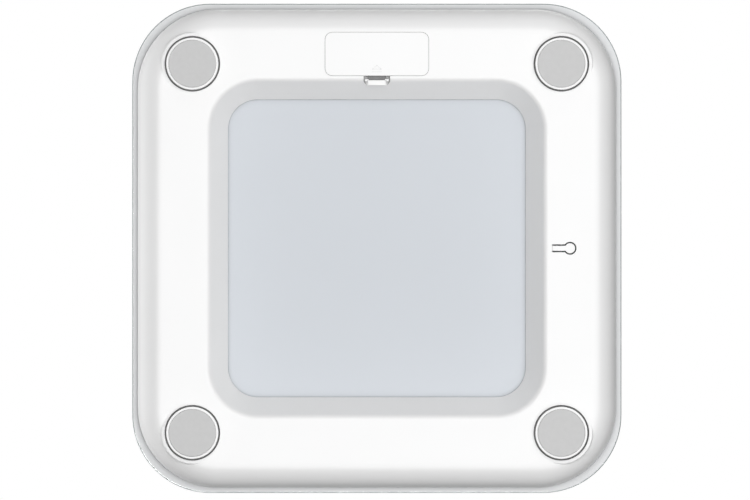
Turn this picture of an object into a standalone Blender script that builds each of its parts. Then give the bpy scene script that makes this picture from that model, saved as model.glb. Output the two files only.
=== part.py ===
"""Digital bathroom scale: a glass platform on a ring-shaped base with four load-cell feet.

Metres, +Z up, feet on z = 0, origin under the middle. The battery door is towards -Y,
the display towards +Y and the unit button towards +X. A name ending in display_left,
battery_right and so on says which corner a piece belongs to, seen from above.
"""

import math

import bmesh
import bpy
from mathutils import Matrix, Vector

MM = 0.001
GAP = 0.3 * MM                      # clearance between pieces that touch

# Glass platform
GLASS_SIDE = 300 * MM
GLASS_CORNER_R = 47.8 * MM
GLASS_LOW_Z = 23.8 * MM
GLASS_TOP_Z = 28.8 * MM
COAT_INSET = 0.6 * MM
COAT_LOW_Z = 23.1 * MM
COAT_TOP_Z = 23.5 * MM
TAPE_LOW_Z = 22.1 * MM
TAPE_TOP_Z = 22.8 * MM
OUTER_TAPE_HALF = (145.6 * MM, 141.5 * MM)      # outside and inside of each ring
INNER_TAPE_HALF = (96.5 * MM, 92.6 * MM)

# Bottom housing
RIM_HALF = 146.6 * MM
RIM_CORNER_R = 49.0 * MM
FLAT_HALF = 130.5 * MM              # where the flat underside turns up into the skirt
UNDER_Z = 5.0 * MM
RIM_Z = 21.8 * MM
WALL = 2.2 * MM
FLANGE_UNDER_Z = 20.0 * MM
OUTER_FLANGE_HALF = 140.5 * MM
INNER_FLANGE_HALF = 97.5 * MM
OPENING_HALF = 91.3 * MM            # sharp inner edge of the recess, next to the glass
OPENING_CORNER_R = 18.3 * MM
RECESS_HALF = 103.2 * MM            # middle of the rounded edge between recess and flat
RECESS_FILLET_RUN = 2.4 * MM
SLOPE_WALL_RUN = 2.6 * MM           # thickness of the sloping wall, measured level
BOSS_FOOT_Z = 6.5 * MM              # where bosses and posts root inside the floor
BELOW_Z = 3.0 * MM                  # where cuts through the underside start

# Feet, at the four corners
FOOT_OFFSET = 113.0 * MM
PAD_R = 14.5 * MM
PAD_TOP_Z = 2.0 * MM
CAP_R = 15.95 * MM
CAP_LOW_Z = 1.0 * MM
CAP_FLANGE_R = 17.6 * MM
CAP_FLANGE_Z = (7.5 * MM, 8.8 * MM)
FOOT_TRAVEL = 0.8 * MM
WELL_R = 16.8 * MM
COLLAR_R = 19.4 * MM
COLLAR_LOW_Z = 4.7 * MM
SLEEVE_R = 18.2 * MM
SLEEVE_TOP_Z = 9.9 * MM
BRACKET_HALF = 18.4 * MM
BRACKET_POCKET_HALF = 17.4 * MM
BRACKET_CORNER_R = 13.0 * MM
BRACKET_LEDGE_R = 14.0 * MM
BRACKET_Z = (10.2 * MM, 11.2 * MM, 14.2 * MM)   # underside, ledge, top
CELL_HALF = 17.0 * MM
CELL_Z = (11.5 * MM, 12.7 * MM)
EAR_OFFSET = 22.4 * MM
EAR_R = 3.2 * MM
EAR_TOP_Z = 12.2 * MM
BOSS_R = 3.0 * MM
PILOT_R = 1.2 * MM
PILOT_FOOT_Z = 7.8 * MM
SCREW_TIP_Z = 8.2 * MM

# Battery bay and door
DOOR_Y = -119.0 * MM
DOOR_HALF = (31.75 * MM, 13.3 * MM)
DOOR_CORNER_R = 4.5 * MM
DOOR_TOP_Z = 6.4 * MM
BAY_HALF = (28.6 * MM, 11.1 * MM)
BAY_WALL = 1.6 * MM
BAY_ROOF_Z = (17.5 * MM, 18.6 * MM)
CELL_LENGTH = 44.5 * MM
CELL_R = 5.25 * MM
CELL_AXIS_Z = 11.95 * MM
CELL_PITCH = 11.1 * MM
CELL_SHIFT = 5.35 * MM              # each cell sits towards the contact its nub touches
HOOK_X = 20.0 * MM

# Latch of the door, a U-shaped finger spring in a notch
LATCH_HALF_X = 5.45 * MM
LATCH_EAR_X = 7.3 * MM
LATCH_TAB_Y = (-103.2 * MM, -99.7 * MM)
LATCH_TAB_Z = (5.2 * MM, 6.4 * MM)
NOTCH_WIDE_X = 8.1 * MM
NOTCH_NARROW_X = 5.8 * MM
NOTCH_Y = (-106.3 * MM, -102.0 * MM, -99.1 * MM)    # back, end of the straight sides, tip
NOTCH_TOP_Z = 9.7 * MM

# Unit button and its switch
BUTTON_X = 118.3 * MM
BUTTON_ROOT_X = 107.4 * MM
BUTTON_PAD_R = 3.15 * MM
BUTTON_ARM_HALF = 1.6 * MM
BUTTON_SLOT = 0.7 * MM
BUTTON_TOP_Z = 6.4 * MM
STEM_TOP_Z = 8.7 * MM
SWITCH_Z = (10.3 * MM, 13.0 * MM)
SWITCH_BOARD_Z = (13.3 * MM, 14.5 * MM)
SWITCH_BOARD_HALF = (5.0 * MM, 11.5 * MM)
SWITCH_POST_Y = 8.5 * MM

# Main board and display
BOARD_Y = 118.5 * MM
BOARD_HALF = (42.0 * MM, 11.0 * MM)
BOARD_Z = (12.0 * MM, 13.2 * MM)
BOARD_SCREW_X = 38.0 * MM
DISPLAY_HALF = (28.0 * MM, 10.5 * MM)
DISPLAY_LOW_Z = 20.3 * MM
WINDOW_HALF = (24.0 * MM, 8.0 * MM)

LEAD_R = 0.9 * MM
LEAD_RUN_Z = 16.2                   # mm, height of the leads round the ring
LEAD_END_Z = 13.5                   # mm, just above the main board
ROUND = 20                          # sides of a round piece
CORNER_STEPS = 6                    # sides of a rounded corner

CORNERS = {
    "display_left": (-1, 1),
    "display_right": (1, 1),
    "battery_left": (-1, -1),
    "battery_right": (1, -1),
}


# ---------------------------------------------------------------- scene and materials

def clear_scene():
    for thing in list(bpy.data.objects):
        bpy.data.objects.remove(thing, do_unlink=True)


def new_collection(name):
    collection = bpy.data.collections.new(name)
    bpy.context.scene.collection.children.link(collection)
    return collection


def material(name, colour, roughness, metallic=0.0):
    made = bpy.data.materials.new(name)
    made.use_nodes = True
    shader = made.node_tree.nodes["Principled BSDF"]
    shader.inputs["Base Color"].default_value = (*colour, 1.0)
    shader.inputs["Roughness"].default_value = roughness
    shader.inputs["Metallic"].default_value = metallic
    return made


clear_scene()
PARTS = new_collection("digital_bathroom_scale")
CUTTERS = new_collection("cutters")

WHITE_PLASTIC = material("white_gloss_plastic", (0.90, 0.90, 0.90), 0.28)
WHITE_DOOR = material("white_door_plastic", (0.90, 0.90, 0.90), 0.30)
GLASS = material("clear_glass", (0.86, 0.90, 0.90), 0.05)
BACK_COAT = material("bluish_grey_coat", (0.70, 0.73, 0.77), 0.35)
FOAM_TAPE = material("foam_tape", (0.60, 0.61, 0.62), 0.80)
FOOT_GREY = material("grey_foot_foam", (0.60, 0.60, 0.60), 0.75)
STEEL = material("plated_steel", (0.62, 0.62, 0.60), 0.32, 1.0)
SEALANT = material("white_sealant", (0.86, 0.86, 0.84), 0.55)
BLACK_PLASTIC = material("black_plastic", (0.03, 0.03, 0.03), 0.40)
BOARD_GREEN = material("board_green", (0.03, 0.22, 0.10), 0.45)
LCD_GREY = material("display_glass", (0.20, 0.22, 0.22), 0.10)
CELL_JACKET = material("cell_jacket", (0.16, 0.22, 0.30), 0.35)
LEAD_GREY = material("lead_jacket", (0.25, 0.25, 0.26), 0.50)


# ---------------------------------------------------------------- modelling tools

def keep(name, mesh, finish, collection=PARTS):
    thing = bpy.data.objects.new(name, mesh)
    collection.objects.link(thing)
    if finish is not None:
        mesh.materials.clear()
        mesh.materials.append(finish)
    return thing


def keep_bmesh(name, bm, finish, collection=PARTS):
    bmesh.ops.recalc_face_normals(bm, faces=bm.faces)
    mesh = bpy.data.meshes.new(name)
    bm.to_mesh(mesh)
    bm.free()
    return keep(name, mesh, finish, collection)


def smooth(thing, angle=35):
    thing.data.shade_smooth()
    thing.data.set_sharp_from_angle(angle=math.radians(angle))
    return thing


def hide_cutter(cutter):
    cutter.hide_render = True
    cutter.display_type = "WIRE"
    return cutter


def boolean(target, operand, operation):
    modifier = target.modifiers.new(operand.name, "BOOLEAN")
    modifier.operation = operation
    modifier.object = operand
    modifier.solver = "EXACT"


def cut(target, cutter):
    boolean(target, hide_cutter(cutter), "DIFFERENCE")


def join(target, addition):
    boolean(target, hide_cutter(addition), "UNION")


def add_box(bm, low, high):
    low, high = Vector(low), Vector(high)
    middle, size = (low + high) / 2, high - low
    matrix = Matrix.Translation(middle) @ Matrix.Diagonal((*size, 1))
    bmesh.ops.create_cube(bm, size=1, matrix=matrix)


def add_cylinder(bm, centre, radius, low_z, high_z, sides=ROUND):
    matrix = Matrix.Translation((centre[0], centre[1], (low_z + high_z) / 2))
    bmesh.ops.create_cone(bm, cap_ends=True, segments=sides, radius1=radius, radius2=radius,
                          depth=high_z - low_z, matrix=matrix)


def box(name, low, high, finish, collection=PARTS):
    bm = bmesh.new()
    add_box(bm, low, high)
    return keep_bmesh(name, bm, finish, collection)


def boxes(name, limits, collection=CUTTERS):
    bm = bmesh.new()
    for low, high in limits:
        add_box(bm, low, high)
    return keep_bmesh(name, bm, None, collection)


def cylinders(name, centres, radius, low_z, high_z, sides=ROUND):
    bm = bmesh.new()
    for centre in centres:
        add_cylinder(bm, centre, radius, low_z, high_z, sides)
    return keep_bmesh(name, bm, None, CUTTERS)


def bevel(thing, width, segments=2, angle=60):
    modifier = thing.modifiers.new("edge", "BEVEL")
    modifier.width = width
    modifier.segments = segments
    modifier.limit_method = "ANGLE"
    modifier.angle_limit = math.radians(angle)
    return thing


def turned(name, profile, finish, place=(0, 0, 0), sides=ROUND, collection=PARTS):
    """A profile of (radius, height), outer side top to bottom, turned about Z."""
    mesh = bpy.data.meshes.new(name)
    points = [(radius, 0, height) for radius, height in profile]
    mesh.from_pydata(points, [(i, i + 1) for i in range(len(points) - 1)], [])
    thing = keep(name, mesh, finish, collection)
    thing.location = place
    modifier = thing.modifiers.new("turn", "SCREW")
    modifier.axis = "Z"
    modifier.steps = sides
    modifier.render_steps = sides
    modifier.use_merge_vertices = True
    modifier.merge_threshold = 0.00001
    return thing


def mesh_from_curve(name, curve, finish, matrix=Matrix(), collection=PARTS):
    """The curve's own mesh, with its caps welded on."""
    source = bpy.data.objects.new(name + "_curve", curve)
    bpy.context.scene.collection.objects.link(source)
    source.matrix_world = matrix
    bpy.context.view_layer.update()
    graph = bpy.context.evaluated_depsgraph_get()
    mesh = bpy.data.meshes.new_from_object(source.evaluated_get(graph))
    placed = source.matrix_world.copy()
    bpy.data.objects.remove(source, do_unlink=True)
    bm = bmesh.new()
    bm.from_mesh(mesh)
    bmesh.ops.remove_doubles(bm, verts=bm.verts, dist=0.000005)
    bmesh.ops.recalc_face_normals(bm, faces=bm.faces)
    bm.to_mesh(mesh)
    bm.free()
    mesh.name = name
    thing = keep(name, mesh, finish, collection)
    thing.matrix_world = placed
    return thing


def plate(name, outlines, low_z, high_z, finish, matrix=Matrix(), collection=PARTS):
    """A flat piece: the first outline filled, less any outlines inside it."""
    curve = bpy.data.curves.new(name, "CURVE")
    curve.dimensions = "2D"
    curve.fill_mode = "BOTH"
    curve.extrude = (high_z - low_z) / 2
    for outline in outlines:
        spline = curve.splines.new("POLY")
        spline.points.add(len(outline) - 1)
        for point, (x, y) in zip(spline.points, outline):
            point.co = (x, y, 0, 1)
        spline.use_cyclic_u = True
    lift = Matrix.Translation((0, 0, (low_z + high_z) / 2))
    return mesh_from_curve(name, curve, finish, matrix @ lift, collection)


def rounded_rectangle(half_x, half_y, radius, steps=CORNER_STEPS, centre=(0, 0)):
    points = []
    for quarter, (sx, sy) in enumerate(((1, 1), (-1, 1), (-1, -1), (1, -1))):
        for step in range(steps + 1):
            angle = math.radians(90) * (quarter + step / steps)
            x = sx * (half_x - radius) + radius * math.cos(angle)
            y = sy * (half_y - radius) + radius * math.sin(angle)
            points.append((centre[0] + x, centre[1] + y))
    return points


def loft_loop(name, sections, finish):
    """Skin a closed series of rounded-square sections, each (half side, corner radius, z)."""
    bm = bmesh.new()
    rings = []
    for half, radius, z in sections:
        outline = rounded_rectangle(half, half, radius)
        rings.append([bm.verts.new((x, y, z)) for x, y in outline])
    for ring, following in zip(rings, rings[1:] + rings[:1]):
        for i in range(len(ring)):
            j = (i + 1) % len(ring)
            bm.faces.new((ring[i], ring[j], following[j], following[i]))
    return keep_bmesh(name, bm, finish)


def smooth_route(points, steps=2):
    """Points along a Catmull-Rom curve through the given ones."""
    ends = [points[0], *points, points[-1]]
    route = []
    for before, start, end, after in zip(ends, ends[1:], ends[2:], ends[3:]):
        a, b, c, d = (Vector(point) for point in (before, start, end, after))
        for step in range(steps):
            t = step / steps
            route.append(0.5 * (2 * b + (c - a) * t + (2 * a - 5 * b + 4 * c - d) * t ** 2
                                + (3 * b - a - 3 * c + d) * t ** 3))
    route.append(Vector(points[-1]))
    return route


def tube(name, route, radius, finish, resolution=2):
    curve = bpy.data.curves.new(name, "CURVE")
    curve.dimensions = "3D"
    curve.bevel_depth = radius
    curve.bevel_resolution = resolution
    curve.use_fill_caps = True
    spline = curve.splines.new("POLY")
    spline.points.add(len(route) - 1)
    for point, place in zip(spline.points, route):
        point.co = (*place, 1)
    return smooth(mesh_from_curve(name, curve, finish), 60)


# ---------------------------------------------------------------- places that repeat

def foot_place(corner):
    sx, sy = CORNERS[corner]
    return Vector((sx * FOOT_OFFSET, sy * FOOT_OFFSET, 0))


def corner_matrix(corner):
    """Turns a piece so that its own +Y points out along the diagonal of its corner."""
    sx, sy = CORNERS[corner]
    turn = math.atan2(sy, sx) - math.radians(90)
    return Matrix.Translation(foot_place(corner)) @ Matrix.Rotation(turn, 4, "Z")


def ear_places(corner):
    matrix = corner_matrix(corner)
    return [matrix @ Vector((side * EAR_OFFSET, 0, 0)) for side in (-1, 1)]


def all_foot_places():
    return [foot_place(corner) for corner in CORNERS]


def all_ear_places():
    return [place for corner in CORNERS for place in ear_places(corner)]


# ---------------------------------------------------------------- platform

def make_platform():
    half = GLASS_SIDE / 2
    edge = rounded_rectangle(half, half, GLASS_CORNER_R)
    glass = plate("glass_platform", [edge], GLASS_LOW_Z, GLASS_TOP_Z, GLASS)
    smooth(bevel(glass, 0.8 * MM))

    coat_half = half - COAT_INSET
    coat_edge = rounded_rectangle(coat_half, coat_half, GLASS_CORNER_R - COAT_INSET)
    window = rounded_rectangle(*WINDOW_HALF, 1.5 * MM, 2, (0, BOARD_Y))
    plate("glass_back_coat", [coat_edge, window], COAT_LOW_Z, COAT_TOP_Z, BACK_COAT)

    for name, halves, straight in (
            ("outer", OUTER_TAPE_HALF, RIM_HALF - RIM_CORNER_R),
            ("inner", INNER_TAPE_HALF, OPENING_HALF - OPENING_CORNER_R)):
        rings = [rounded_rectangle(size, size, size - straight) for size in halves]
        plate("adhesive_tape_" + name, rings, TAPE_LOW_Z, TAPE_TOP_Z, FOAM_TAPE)


# ---------------------------------------------------------------- housing

def outer_section(half, z):
    return half, RIM_CORNER_R - (RIM_HALF - half), z


def inner_section(half, z):
    return half, OPENING_CORNER_R + (half - OPENING_HALF), z


def skirt(inset, start, steps):
    """Sections of the rounded skirt, a quarter ellipse, from its rim down to the flat."""
    run = RIM_HALF - FLAT_HALF - inset
    rise = RIM_Z - UNDER_Z - inset
    sections = []
    for step in range(steps + 1):
        angle = start * (1 - step / steps)
        half = FLAT_HALF + run * math.sin(angle)
        sections.append(outer_section(half, RIM_Z - rise * math.cos(angle)))
    return sections


def recess_edge(steps=3):
    """The rounded edge from the flat underside to the sloping wall of the recess."""
    fillet_end_run = 1.5 * MM
    rise = 1.9 * MM
    flat_end = RECESS_HALF + RECESS_FILLET_RUN
    slope_start = RECESS_HALF - fillet_end_run
    sections = []
    for step in range(steps + 1):
        t = step / steps
        half = (1 - t) ** 2 * flat_end + 2 * t * (1 - t) * RECESS_HALF + t ** 2 * slope_start
        sections.append(inner_section(half, UNDER_Z + rise * t ** 2))
    return sections


def housing_shell():
    inside_floor = UNDER_Z + WALL
    rise = RIM_Z - UNDER_Z - WALL
    flange_angle = math.acos((RIM_Z - FLANGE_UNDER_Z) / rise)
    slope_top = OPENING_HALF + SLOPE_WALL_RUN + 1.5 * MM
    sections = skirt(0, math.radians(90), 6)
    sections += recess_edge()
    sections.append(inner_section(OPENING_HALF, RIM_Z))
    sections.append(inner_section(INNER_FLANGE_HALF, RIM_Z))
    sections.append(inner_section(INNER_FLANGE_HALF, FLANGE_UNDER_Z))
    sections.append(inner_section(slope_top, FLANGE_UNDER_Z))
    sections.append(inner_section(slope_top + 9.1 * MM, inside_floor))
    sections += reversed(skirt(WALL, flange_angle, 5))
    sections.append(outer_section(OUTER_FLANGE_HALF, FLANGE_UNDER_Z))
    sections.append(outer_section(OUTER_FLANGE_HALF, RIM_Z))
    return loft_loop("bottom_housing", sections, WHITE_PLASTIC)


def button_outline(arm_half, pad_r, root_x, steps=16):
    """A round pad on a straight arm that runs to the root."""
    meet = math.asin(arm_half / pad_r)
    points = [(root_x, -arm_half)]
    for step in range(steps + 1):
        angle = -math.pi + meet + (2 * math.pi - 2 * meet) * step / steps
        points.append((BUTTON_X + pad_r * math.cos(angle), pad_r * math.sin(angle)))
    points.append((root_x, arm_half))
    return points


def latch_notch_outline():
    back, straight, tip = NOTCH_Y
    return [(-NOTCH_WIDE_X, back), (NOTCH_WIDE_X, back), (NOTCH_WIDE_X, straight),
            (NOTCH_NARROW_X, tip), (-NOTCH_NARROW_X, tip), (-NOTCH_WIDE_X, straight)]


def make_housing():
    housing = housing_shell()
    feet, ears = all_foot_places(), all_ear_places()
    bay_outer = (BAY_HALF[0] + BAY_WALL, BAY_HALF[1] + BAY_WALL)

    join(housing, cylinders("foot_collars", feet, COLLAR_R, COLLAR_LOW_Z, SLEEVE_TOP_Z))
    join(housing, cylinders("bracket_bosses", ears, BOSS_R, BOSS_FOOT_Z, SLEEVE_TOP_Z, 12))
    board_screws = [(side * BOARD_SCREW_X, BOARD_Y) for side in (-1, 1)]
    join(housing, cylinders("board_bosses", board_screws, BOSS_R, BOSS_FOOT_Z,
                            BOARD_Z[0] - GAP, 12))
    switch_posts = [(BUTTON_X, side * SWITCH_POST_Y) for side in (-1, 1)]
    join(housing, cylinders("switch_posts", switch_posts, 2.2 * MM, BOSS_FOOT_Z,
                            SWITCH_BOARD_Z[0] - GAP, 10))
    join(housing, cylinders("switch_post_pins", switch_posts, 0.9 * MM,
                            SWITCH_BOARD_Z[0] - 2 * MM, SWITCH_BOARD_Z[1] + 0.7 * MM, 8))
    join(housing, boxes("battery_bay_block", [
        ((-bay_outer[0], DOOR_Y - bay_outer[1], BOSS_FOOT_Z),
         (bay_outer[0], DOOR_Y + bay_outer[1], BAY_ROOF_Z[1]))]))
    join(housing, boxes("latch_backing", [
        ((-10 * MM, -107.0 * MM, 6.1 * MM), (10 * MM, -103.7 * MM, 11.2 * MM))]))
    join(housing, boxes("latch_backing_tip", [
        ((-9.8 * MM, -104.5 * MM, 7.6 * MM), (9.8 * MM, -101.7 * MM, 11.0 * MM))]))

    cut(housing, cylinders("foot_wells", feet, WELL_R, BELOW_Z, 8 * MM))
    cut(housing, cylinders("foot_sleeves", feet, SLEEVE_R, UNDER_Z + WALL, 12 * MM))
    cut(housing, cylinders("bracket_pilots", ears, PILOT_R, PILOT_FOOT_Z, 12 * MM, 10))
    cut(housing, cylinders("board_pilots", board_screws, PILOT_R, PILOT_FOOT_Z, 13 * MM, 10))
    door_hole = rounded_rectangle(DOOR_HALF[0] + GAP, DOOR_HALF[1] + GAP,
                                  DOOR_CORNER_R + GAP, 4, (0, DOOR_Y))
    cut(housing, plate("door_opening", [door_hole], BELOW_Z, DOOR_TOP_Z + GAP, None,
                       collection=CUTTERS))
    cut(housing, boxes("battery_bay", [
        ((-BAY_HALF[0], DOOR_Y - BAY_HALF[1], 5.5 * MM),
         (BAY_HALF[0], DOOR_Y + BAY_HALF[1], BAY_ROOF_Z[0]))]))
    hook_half = 2.8 * MM
    cut(housing, boxes("hook_windows", [
        ((side * HOOK_X - hook_half, -132.2 * MM, 5.8 * MM),
         (side * HOOK_X + hook_half, -128.0 * MM, 10.6 * MM)) for side in (-1, 1)]))
    cut(housing, plate("latch_notch", [latch_notch_outline()], BELOW_Z, NOTCH_TOP_Z, None,
                       collection=CUTTERS))
    cut(housing, boxes("latch_travel", [
        ((-NOTCH_WIDE_X, -109 * MM, 6.2 * MM), (NOTCH_WIDE_X, -105.8 * MM, NOTCH_TOP_Z))]))
    slot = button_outline(BUTTON_ARM_HALF + BUTTON_SLOT, BUTTON_PAD_R + BUTTON_SLOT,
                          BUTTON_ROOT_X - GAP)
    cut(housing, plate("button_slot", [slot], BELOW_Z, 9 * MM, None, collection=CUTTERS))
    lead_holes = boxes("battery_lead_holes", [
        ((-32 * MM, y - 1.3 * MM, 12.7 * MM), (-27 * MM, y + 1.3 * MM, 15.3 * MM))
        for y in battery_rows()])
    cut(housing, lead_holes)
    return smooth(housing)


# ---------------------------------------------------------------- feet and load cells

def make_foot(corner):
    place = foot_place(corner)
    flange_low, flange_top = CAP_FLANGE_Z
    post_top = CELL_Z[0] - FOOT_TRAVEL - GAP
    web_top = 4.0 * MM
    recess_z = PAD_TOP_Z + GAP
    recess_r = PAD_R + GAP
    post_r, cup_r = 4.0 * MM, 13.6 * MM
    cap = turned("foot_cap_" + corner, [
        (0, post_top), (post_r, post_top), (post_r, web_top), (cup_r, web_top),
        (cup_r, flange_top), (CAP_FLANGE_R, flange_top), (CAP_FLANGE_R, flange_low),
        (CAP_R, flange_low), (CAP_R, CAP_LOW_Z + 0.4 * MM), (CAP_R - 0.4 * MM, CAP_LOW_Z),
        (recess_r, CAP_LOW_Z), (recess_r, recess_z), (0, recess_z)], WHITE_PLASTIC, place)
    smooth(cap)
    pad = turned("foot_pad_" + corner, [
        (0, PAD_TOP_Z), (PAD_R, PAD_TOP_Z), (PAD_R, 0.5 * MM), (PAD_R - 0.5 * MM, 0), (0, 0)],
        FOOT_GREY, place)
    smooth(pad)


def make_load_cell(corner):
    matrix = corner_matrix(corner)
    corner_r = BRACKET_CORNER_R - (BRACKET_HALF - CELL_HALF)
    outline = rounded_rectangle(CELL_HALF, CELL_HALF, corner_r, 4)
    near, far, side, slot = -12 * MM, 8 * MM, 12 * MM, 2 * MM
    tongue_slot = [(-side, near), (side, near), (side, far), (side - slot, far),
                   (side - slot, near + slot), (slot - side, near + slot),
                   (slot - side, far), (-side, far)]
    plate("load_cell_" + corner, [outline, tongue_slot], *CELL_Z, STEEL, matrix)

    low = CELL_Z[1] + GAP
    seal_outline = rounded_rectangle(5.0 * MM, 2.2 * MM, 1.5 * MM, 2, (0, 10.5 * MM))
    seal = plate("strain_gauge_seal_" + corner, [seal_outline], low, low + 1.2 * MM,
                 SEALANT, matrix)
    smooth(seal)


def make_bracket(corner):
    matrix = corner_matrix(corner)
    under, ledge, top = BRACKET_Z
    outline = rounded_rectangle(BRACKET_HALF, BRACKET_HALF, BRACKET_CORNER_R, 4)
    bracket = plate("corner_bracket_" + corner, [outline], under, top, WHITE_PLASTIC, matrix)
    ears = ear_places(corner)
    ear_root = BRACKET_HALF - 2 * MM
    ear_half = (EAR_OFFSET + EAR_R - ear_root) / 2
    for side in (-1, 1):
        centre = (side * (ear_root + ear_half), 0)
        ear_outline = rounded_rectangle(ear_half, EAR_R, EAR_R - 0.1 * MM, 3, centre)
        join(bracket, plate(f"ear_{side}_{corner}", [ear_outline], under + 0.05 * MM,
                            EAR_TOP_Z, None, matrix, CUTTERS))
    hole_z = (under - 2 * MM, top + 2 * MM)
    cut(bracket, cylinders("ear_holes_" + corner, ears, 1.4 * MM, *hole_z, 10))
    cut(bracket, cylinders("bracket_eye_" + corner, [foot_place(corner)], BRACKET_LEDGE_R,
                           *hole_z))
    pocket_r = BRACKET_CORNER_R - (BRACKET_HALF - BRACKET_POCKET_HALF)
    pocket = rounded_rectangle(BRACKET_POCKET_HALF, BRACKET_POCKET_HALF, pocket_r, 4)
    cut(bracket, plate("bracket_pocket_" + corner, [pocket], ledge, top + 2 * MM, None,
                       matrix, CUTTERS))
    return bracket


def screw(name, place, under_head_z, tip_z):
    head_r, shank_r, head = 2.2 * MM, 0.85 * MM, 1.5 * MM
    profile = [(0, under_head_z + head), (head_r * 0.6, under_head_z + head),
               (head_r, under_head_z + head * 0.5), (head_r, under_head_z),
               (shank_r, under_head_z), (shank_r, tip_z + 0.5 * MM), (0, tip_z)]
    return smooth(turned(name, profile, STEEL, (place[0], place[1], 0), 10))


# ---------------------------------------------------------------- battery bay

def battery_rows():
    return [DOOR_Y - CELL_PITCH / 2, DOOR_Y + CELL_PITCH / 2]


def make_door():
    outline = rounded_rectangle(*DOOR_HALF, DOOR_CORNER_R, 4, (0, DOOR_Y))
    door = plate("battery_door", [outline], UNDER_Z, DOOR_TOP_Z, WHITE_DOOR)
    half = 2.5 * MM
    join(door, boxes("hook_necks", [
        ((side * HOOK_X - half, -131.9 * MM, DOOR_TOP_Z - 0.8 * MM),
         (side * HOOK_X + half, -130.9 * MM, 8.8 * MM)) for side in (-1, 1)]))
    hook_half = half - 0.05 * MM
    join(door, boxes("hook_tips", [
        ((side * HOOK_X - hook_half, -134.0 * MM, 7.95 * MM),
         (side * HOOK_X + hook_half, -131.2 * MM, 8.75 * MM)) for side in (-1, 1)]))
    arrow = [(-2.8 * MM, -109.6 * MM), (2.8 * MM, -109.6 * MM), (0, -112.2 * MM)]
    cut(door, plate("door_arrow", [arrow], UNDER_Z - 1 * MM, UNDER_Z + 0.2 * MM, None,
                    collection=CUTTERS))
    return smooth(door)


def make_latch():
    """A U-shaped finger spring: tab, outer leg, bend and inner leg, with two small ears."""
    latch = box("battery_door_latch", (-LATCH_HALF_X, LATCH_TAB_Y[0], LATCH_TAB_Z[0]),
                (LATCH_HALF_X, LATCH_TAB_Y[1], LATCH_TAB_Z[1]), WHITE_DOOR)
    leg = LATCH_HALF_X - 0.1 * MM
    join(latch, boxes("latch_outer_leg", [
        ((-leg, -103.1 * MM, 5.4 * MM), (leg, -102.2 * MM, 9.1 * MM))]))
    join(latch, boxes("latch_bend", [
        ((0.1 * MM - leg, -106.1 * MM, 8.2 * MM), (leg - 0.1 * MM, -102.6 * MM, 9.0 * MM))]))
    join(latch, boxes("latch_inner_leg", [
        ((0.2 * MM - leg, -106.0 * MM, 6.7 * MM), (leg - 0.2 * MM, -105.2 * MM, 8.8 * MM))]))
    for inner, outer in ((-4.9 * MM, -LATCH_EAR_X), (4.9 * MM, LATCH_EAR_X)):
        join(latch, boxes("latch_ear", [
            ((min(inner, outer), -103.6 * MM, 5.7 * MM),
             (max(inner, outer), -102.3 * MM, 6.6 * MM))]))
    return latch


def make_batteries():
    half = CELL_LENGTH / 2
    nub = 1.0 * MM
    for number, (y, facing) in enumerate(zip(battery_rows(), (-1, 1)), 1):
        cell = turned(f"battery_cell_{number}", [
            (0, half), (1.8 * MM, half), (1.8 * MM, half - nub), (CELL_R - 0.4 * MM, half - nub),
            (CELL_R, half - nub - 0.4 * MM), (CELL_R, 0.4 * MM - half),
            (CELL_R - 0.4 * MM, -half), (0, -half)], CELL_JACKET, (facing * CELL_SHIFT, y, CELL_AXIS_Z), 20)
        cell.rotation_euler = (0, math.radians(90) * facing, 0)
        smooth(cell)


def make_contacts():
    low_z, high_z = 7.6 * MM, 16.4 * MM
    thick = 0.4 * MM
    near, far = battery_rows()
    plate_x = BAY_HALF[0] - GAP - thick
    half_y = 4.3 * MM
    box("battery_contact_bridge", (plate_x, near - half_y, low_z),
        (plate_x + thick, far + half_y, high_z), STEEL)
    for name, y in (("positive", near), ("negative", far)):
        box("battery_contact_" + name, (-plate_x - thick, y - half_y, low_z),
            (-plate_x, y + half_y, high_z), STEEL)
    for name, y, side in (("bridge", near, 1), ("negative", far, -1)):
        make_contact_spring("battery_spring_" + name, y, side)


def make_contact_spring(name, y, side):
    """A conical coil between a contact plate and the flat end of a cell."""
    turns, per_turn, wire = 4, 8, 0.3 * MM
    start_x = BAY_HALF[0] - GAP - 0.4 * MM - GAP - wire
    end_x = CELL_LENGTH / 2 - CELL_SHIFT + GAP + wire
    steps = int(turns * per_turn)
    route = []
    for step in range(steps + 1):
        t = step / steps
        angle = 2 * math.pi * turns * t
        radius = (3.4 - 1.4 * t) * MM
        route.append((side * (start_x + (end_x - start_x) * t),
                      y + radius * math.cos(angle), CELL_AXIS_Z + radius * math.sin(angle)))
    return tube(name, route, wire, STEEL, 1)


# ---------------------------------------------------------------- button and switch

def make_button():
    outline = button_outline(BUTTON_ARM_HALF, BUTTON_PAD_R, BUTTON_ROOT_X)
    shift = Matrix.Translation((BUTTON_ROOT_X, 0, 0))
    local = [(x - BUTTON_ROOT_X, y) for x, y in outline]
    button = plate("unit_button", [local], UNDER_Z, BUTTON_TOP_Z, WHITE_PLASTIC, shift)
    join(button, cylinders("button_stem", [(BUTTON_X, 0)], 1.3 * MM,
                           BUTTON_TOP_Z - 0.8 * MM, STEM_TOP_Z, 12))
    return smooth(button)


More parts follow.
